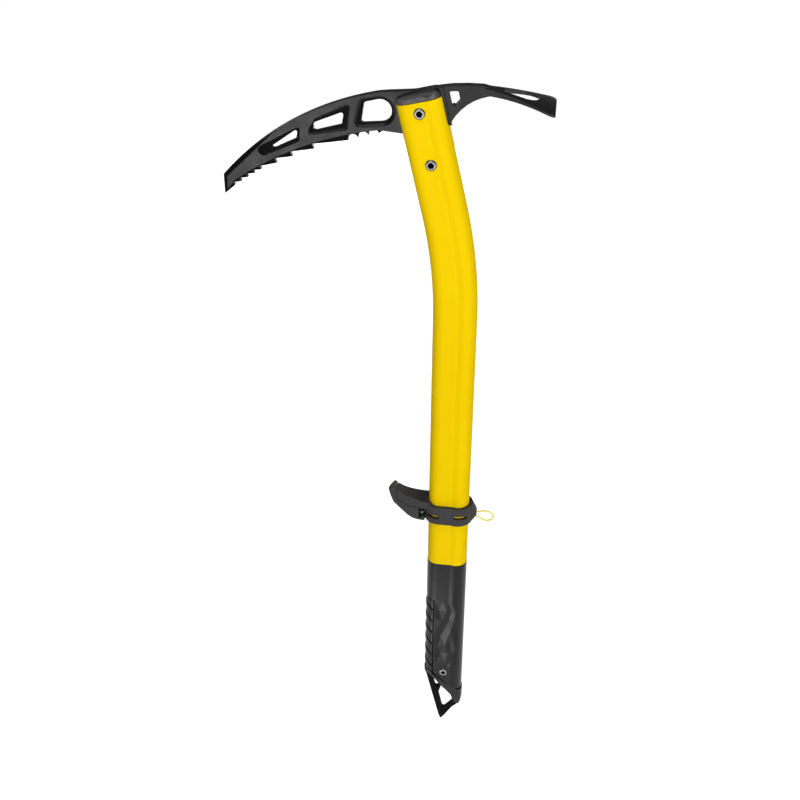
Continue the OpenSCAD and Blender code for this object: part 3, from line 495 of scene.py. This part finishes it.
def stands_for(piece, node):
    """The piece takes the node's finish, rides on its body and is shown in its place."""
    piece.data.materials.clear()
    piece.data.materials.append(FINISH[SLOT_OF[node]])
    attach(piece, BODY_OF[node])
    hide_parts(node)


def apply_modifier(piece, name, kind, **values):
    """Add a modifier with its settings and apply it."""
    only(piece)
    modifier = piece.modifiers.new(name, kind)
    for key, value in values.items():
        setattr(modifier, key, value)
    bpy.ops.object.modifier_apply(modifier=name)


def merged_copy(node):
    """A copy of a node's mesh with its loose triangles and its tiniest edges joined."""
    piece = bpy.data.objects.new(node + "_shape", nodes[node].data.copy())
    scene.collection.objects.link(piece)
    only(piece)
    bpy.ops.object.mode_set(mode="EDIT")
    bpy.ops.mesh.select_all(action="SELECT")
    bpy.ops.mesh.remove_doubles(threshold=WELD_MM * MM)
    bpy.ops.mesh.dissolve_limited(angle_limit=FLAT_WITHIN)
    bpy.ops.object.mode_set(mode="OBJECT")
    return piece


print("bodies:", sorted(set(BODY_OF.values())))

# %% [markdown]
# ## Moulded pieces
# The cheeks that make up the cap and the ferrule at the end of the grip come out of a mould with soft
# edges all round. A bevel gives an edge one radius, and it stumbles where many small faces meet. Here a
# voxel remesh makes an even mesh of the copy, and a few passes of smoothing melt its edges instead.

# %% Soften the mouldings
CELL_MM = 0.35
SMOOTHING = 0.5
SOFT_PASSES = {"near_head_cheek": 9, "far_head_cheek": 9, "end_ferrule": 5}
dressed = {}


def moulded(node, passes):
    """A copy of a node with soft edges all round, as a moulding has them."""
    piece = merged_copy(node)
    apply_modifier(piece, "even_mesh", "REMESH", mode="VOXEL", voxel_size=CELL_MM * MM)
    apply_modifier(piece, "soft_edges", "SMOOTH", factor=SMOOTHING, iterations=passes)
    bpy.ops.object.shade_smooth()
    stands_for(piece, node)
    return piece


for node, passes in SOFT_PASSES.items():
    dressed[node] = moulded(node, passes)
    print(dressed[node].name, len(dressed[node].data.polygons), "faces")

# %% [markdown]
# ## The facets of the grip
# The sides of the grip are a pattern of flat facets that meet in fine creases. The creases are so
# shallow that smooth shading would wipe them out. Their edges could be bevelled, but then the facets
# would lose their crisp look, so every edge inside the pattern's window is marked as sharp.

# %% Find the creases
FACETS_X_MM = (41.0, 60.6)
FACETS_Z_MM = (-446.3, -377.0)


def in_facets(corner):
    """True where a corner of the grip, in millimetres, lies in the window of the facets."""
    beside = FACETS_X_MM[0] < corner.x < FACETS_X_MM[1]
    return beside and FACETS_Z_MM[0] < corner.z < FACETS_Z_MM[1]


def sharpen_facets(piece):
    """Creases between the flat facets of the grip's sides."""
    only(piece)
    bpy.ops.object.mode_set(mode="EDIT")
    bpy.ops.mesh.select_mode(type="EDGE")
    bpy.ops.mesh.select_all(action="DESELECT")
    bpy.ops.object.mode_set(mode="OBJECT")
    inside = [in_facets(v.co / MM) for v in piece.data.vertices]
    for edge in piece.data.edges:
        edge.select = all(inside[i] for i in edge.vertices)
    bpy.ops.object.mode_set(mode="EDIT")
    bpy.ops.mesh.mark_sharp()
    bpy.ops.object.mode_set(mode="OBJECT")


print("facets are", round(FACETS_Z_MM[1] - FACETS_Z_MM[0], 1), "mm high")

# %% [markdown]
# ## Pieces with rounded edges
# Forged, cut and turned steel has its edges broken by a few tenths of a millimetre, and so have the
# rubber and the trigger. A bevel rounds every sharp edge of the copy, and weighted normals keep the flats
# flat. On the finely cut pieces, such as the toothed pick, some edges lie closer together than the
# rounding is wide. There the bevel is clamped, so that it can't run through a tooth or close a window.

# %% Round the edges
BEVEL_STEPS = 2
SHARPER_THAN = math.radians(30)
SMOOTH_BELOW = math.radians(40)
FINELY_CUT = ("head", "spike", "grip_sleeve", "trigger_band")
ROUNDED_MM = {
    "head": 0.45, "spike": 0.35, "trigger_band": 0.45, "trigger_lever": 0.35,
    "upper_head_bolt": 0.12, "lower_head_bolt": 0.12, "upper_barrel_nut": 0.12, "lower_barrel_nut": 0.12,
    "grip_rivet": 0.4, "lever_pin": 0.15, "catch_pin": 0.2,
    "grip_sleeve": 0.5, "rib_strip": 0.5, "near_tang_shim": 0.3, "far_tang_shim": 0.3}


def rounded(node, edge_mm):
    """A merged copy of a node with every sharp edge rounded, less where it is finely cut."""
    piece = merged_copy(node)
    apply_modifier(
        piece, "round_edges", "BEVEL", width=edge_mm * MM, segments=BEVEL_STEPS, limit_method="ANGLE",
        angle_limit=SHARPER_THAN, use_clamp_overlap=node in FINELY_CUT, miter_outer="MITER_ARC")
    bpy.ops.object.shade_smooth_by_angle(angle=SMOOTH_BELOW)
    if node == "grip_sleeve":
        sharpen_facets(piece)
    apply_modifier(piece, "flat_flats", "WEIGHTED_NORMAL", keep_sharp=True)
    stands_for(piece, node)
    return piece


for node, edge_mm in ROUNDED_MM.items():
    dressed[node] = rounded(node, edge_mm)
    print(dressed[node].name, len(dressed[node].data.polygons), "faces")

# %% [markdown]
# ## Sockets and bores
# Deep holes in bright steel look dark, because little light gets into them. A dark plug in each hole would
# be one more piece to keep in place. Instead the faces near the axis of each bolt, nut and rivet are
# picked by their distance from it, and take a second finish with that shade painted in.

# %% Paint shade into the holes
SHADE_RADIUS_MM = {
    "upper_head_bolt": 2.2, "lower_head_bolt": 2.2, "upper_barrel_nut": 2.2, "lower_barrel_nut": 2.2,
    "grip_rivet": 1.6}


def paint_bore_shade(node, radius_mm):
    """Give the faces close to the node's own axis, which runs along Y, the finish of painted shade."""
    low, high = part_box(node)
    middle = (low + high) / 2
    shape = dressed[node].data
    shape.materials.append(PAINTED_SHADE_FINISH)
    away = [math.hypot(v.co.x - middle.x, v.co.z - middle.z) for v in shape.vertices]
    dark = 0
    for face in shape.polygons:
        if max(away[i] for i in face.vertices) < radius_mm * MM:
            face.material_index = 1
            dark += 1
    return dark


for node, radius_mm in SHADE_RADIUS_MM.items():
    print(node, "dark faces:", paint_bore_shade(node, radius_mm))

# %% [markdown]
# ## The ground parts of the pick
# The teeth, the pockets round the windows and the chisel of the tip are cut below the pick's forged
# flats, and they look blacker, because they lie in shade and mirror little light. That shade is painted.
# Their faces could be picked one by one. They all lie closer to the middle plane than the flats do, so
# their depth picks them out, and they take the blacker, duller coat of the spike plate as painted shade.

# %% Paint shade on the cut faces
FLAT_HALF_MM = 1.95
SIDEWAYS = 0.3
pick = dressed["head"].data
# The spike plate's coat goes on here as painted shade for the cut faces of the pick.
pick.materials.append(FINISH["spike_steel"])
cut = 0
for face in pick.polygons:
    below_flat = abs(face.center.y) < FLAT_HALF_MM * MM and face.center.x < 0
    if below_flat and abs(face.normal.y) > SIDEWAYS:
        face.material_index = 1
        cut += 1
print("blackened faces of the head:", cut, "of", len(pick.polygons))

# %% [markdown]
# ## The joint under the grip
# The ferrule's bead sits under the slanted hem of the sleeve, and the joint between them is a line of
# shade. A groove that narrow would need a far finer mesh. The small faces of the bead that lie closest to
# the sleeve take the painted shade of the bores, so the painted line follows the hem by itself.

# %% Paint shade into the hem joint
JOINT_MM = 1.3
ferrule = dressed["end_ferrule"].data
ferrule.materials[0] = FERRULE_FINISH
# Painted shade for the faces along the joint.
ferrule.materials.append(PAINTED_SHADE_FINISH)
shaded = 0
for face in ferrule.polygons:
    found, nearest, _, _ = dressed["grip_sleeve"].closest_point_on_mesh(face.center)
    if found and (nearest - face.center).length < JOINT_MM * MM:
        face.material_index = 1
        shaded += 1
print("shaded faces of the ferrule:", shaded, "of", len(ferrule.polygons))

# %% [markdown]
# ## The section of the shaft
# The tube is a flattened oval, a little slimmer at its front than at its rear. On each side its two
# flats meet in a shallow groove with a fine crease at the bottom. A scaled circle would lose all of that,
# so the points are worked out from two arcs and the corners of the flats. Sizes are in millimetres.

# %% Draw the tube's section
SHAFT_W, SHAFT_D, FRONT_TAPER = 29.5, 17.0, 0.5
GROOVE_X, GROOVE_DEPTH = 2.7, 0.4
CREASE_W, CREASE_DEPTH = 1.0, 0.16
ARC_STEPS, FLAT_STEPS = 28, 8


def oval_section():
    """Points round the tube's section, two lobes and flats that meet in a shallow groove."""
    rear_r = SHAFT_D / 2
    front_r = rear_r - FRONT_TAPER
    front_c = front_r - SHAFT_W / 2
    rear_c = SHAFT_W / 2 - rear_r
    share = (GROOVE_X - front_c) / (rear_c - front_c)
    groove_y = front_r + (rear_r - front_r) * share - GROOVE_DEPTH
    crease_y = groove_y - CREASE_DEPTH
    bank_y = groove_y + GROOVE_DEPTH * CREASE_W / (GROOVE_X - front_c)
    corners = [
        Vector((front_c, -front_r)),
        Vector((GROOVE_X - CREASE_W, -bank_y)),
        Vector((GROOVE_X, -crease_y)),
        Vector((GROOVE_X + CREASE_W, -bank_y)),
        Vector((rear_c, -rear_r))]
    flat = [a.lerp(b, i / FLAT_STEPS) for a, b in zip(corners, corners[1:]) for i in range(FLAT_STEPS)]
    front = [math.radians(90 + 180 * i / ARC_STEPS) for i in range(ARC_STEPS + 1)]
    rear = [a - math.pi for a in front]
    return (
        [Vector((front_c + front_r * math.cos(a), front_r * math.sin(a))) for a in front]
        + flat[1:]
        + [Vector((rear_c + rear_r * math.cos(a), rear_r * math.sin(a))) for a in rear]
        + [Vector((p.x, -p.y)) for p in reversed(flat[1:])])


section = oval_section()
print("points in the section:", len(section))

# %% [markdown]
# ## The sweep of the shaft
# The real tube is drawn oval, then bent. A curve with this section would give a tube too, but the spin
# tool works as the bending machine does: the section is pulled up straight, spun round the middle of the
# bend, and pulled on to the top. Heights are counted in millimetres from the tip of the spike.

# %% Sweep the tube
SPIKE_TIP = Vector((49.03, 0, -511.15))
GRIP_TOP, UNDER_GRIP = 170.8, 2.0
BEND_START, BEND_RADIUS, BEND_ANGLE, BEND_STEPS = 374.0, 325.0, math.radians(13.45), 40
UPPER_LEN, TUBE_WALL = 71.0, 1.5
SEAM_MM = 0.01
TUBE_SMOOTH_BELOW = math.radians(35)
bpy.ops.object.select_all(action="DESELECT")
bpy.ops.mesh.primitive_circle_add(vertices=len(section))
tube = bpy.context.object
tube.name = "shaft_tube"
foot = SPIKE_TIP + Vector((0, 0, GRIP_TOP - UNDER_GRIP))
for vertex, point in zip(tube.data.vertices, section):
    vertex.co = (foot + Vector((point.x, point.y, 0))) * MM
rise = (BEND_START - GRIP_TOP + UNDER_GRIP) * MM
bend_centre = (SPIKE_TIP + Vector((-BEND_RADIUS, 0, BEND_START))) * MM
upward = Vector((-math.sin(BEND_ANGLE), 0, math.cos(BEND_ANGLE)))
bpy.ops.object.mode_set(mode="EDIT")
bpy.ops.mesh.select_all(action="SELECT")
bpy.ops.mesh.extrude_region_move(TRANSFORM_OT_translate={"value": (0, 0, rise)})
bpy.ops.mesh.spin(steps=BEND_STEPS, angle=BEND_ANGLE, center=bend_centre, axis=(0, 1, 0))
bpy.ops.mesh.extrude_region_move(TRANSFORM_OT_translate={"value": upward * UPPER_LEN * MM})
bpy.ops.mesh.select_all(action="SELECT")
bpy.ops.mesh.remove_doubles(threshold=SEAM_MM * MM)
bpy.ops.mesh.normals_make_consistent(inside=False)
bpy.ops.object.mode_set(mode="OBJECT")
apply_modifier(tube, "wall", "SOLIDIFY", thickness=TUBE_WALL * MM, offset=-1)
only(tube)
bpy.ops.object.shade_smooth_by_angle(angle=TUBE_SMOOTH_BELOW)
stands_for(tube, "shaft")
print("tube top at", in_mm(max((v.co for v in tube.data.vertices), key=lambda corner: corner.z)))

# %% [markdown]
# ## The pull cord
# A loop of thin cord comes out of the rear of the trigger and goes back in, stiff enough to stand out
# on its own. A ring could be stretched into the loop, but a real one is never that even. It is one smooth
# curve through the route that the solid follows, given as places beside and above the trigger's middle.

# %% Lay the pull cord
CORD_D = 1.3
CORD_ROUNDNESS, CORD_SMOOTHNESS = 5, 8
TRIGGER_Z = 217.5
CORD_ROUTE = [
    (18.3, -0.7), (20.5, -0.7), (23, -0.2), (25.5, 0.4), (28, 0.5), (30.4, -0.3), (32.2, -1.9),
    (32.8, -4), (32, -6.2), (30, -7.6), (27.6, -7.8), (25.2, -7), (23, -5.7), (21, -4.7), (18.3, -4.3)]
trigger_middle = SPIKE_TIP + Vector((0, 0, TRIGGER_Z))
route = [(trigger_middle + Vector((x, 0, z))) * MM for x, z in CORD_ROUTE]
line = bpy.data.curves.new("pull_cord_loop", "CURVE")
line.dimensions = "3D"
line.bevel_depth = CORD_D / 2 * MM
line.bevel_resolution = CORD_ROUNDNESS
line.resolution_u = CORD_SMOOTHNESS
line.use_fill_caps = True
spline = line.splines.new("BEZIER")
spline.bezier_points.add(len(route) - 1)
for knot, point in zip(spline.bezier_points, route):
    knot.co = point
    knot.handle_left_type = "AUTO"
    knot.handle_right_type = "AUTO"
loop = bpy.data.objects.new("pull_cord_loop", line)
scene.collection.objects.link(loop)
stands_for(loop, "pull_cord")

# %% [markdown]
# ## The stop knot
# Inside the trigger both ends of the cord run into one stop knot, small and tight, that can't pull
# through the holes. A ball would do as a stand-in. A trefoil curve, drawn close together, has the wrapped
# look of a real knot and fills the solid's box by a formula.

# %% Tie the stop knot
KNOT_POINTS = 48
KNOT_STRAND, KNOT_ROUNDNESS = 0.42, 4


def trefoil(turn):
    """A point of a trefoil curve that fills a box from -1 to 1."""
    ring = 2 + math.cos(3 * turn)
    return Vector((ring * math.cos(2 * turn) / 3, math.sin(3 * turn), ring * math.sin(2 * turn) / 3))


knot_low, knot_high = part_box("cord_knot")
knot_middle = (knot_low + knot_high) / 2
knot_half = (knot_high - knot_low) / 2
tie = bpy.data.curves.new("stop_knot", "CURVE")
tie.dimensions = "3D"
tie.bevel_depth = KNOT_STRAND * CORD_D * MM
tie.bevel_resolution = KNOT_ROUNDNESS
wrap = tie.splines.new("POLY")
wrap.points.add(KNOT_POINTS - 1)
wrap.use_cyclic_u = True
reach = Vector([half - tie.bevel_depth for half in knot_half])
for i, point in enumerate(wrap.points):
    point.co = (*(knot_middle + trefoil(2 * math.pi * i / KNOT_POINTS) * reach), 1)
knot_piece = bpy.data.objects.new("stop_knot", tie)
scene.collection.objects.link(knot_piece)
stands_for(knot_piece, "cord_knot")
print("knot box in mm:", in_mm(knot_high - knot_low))
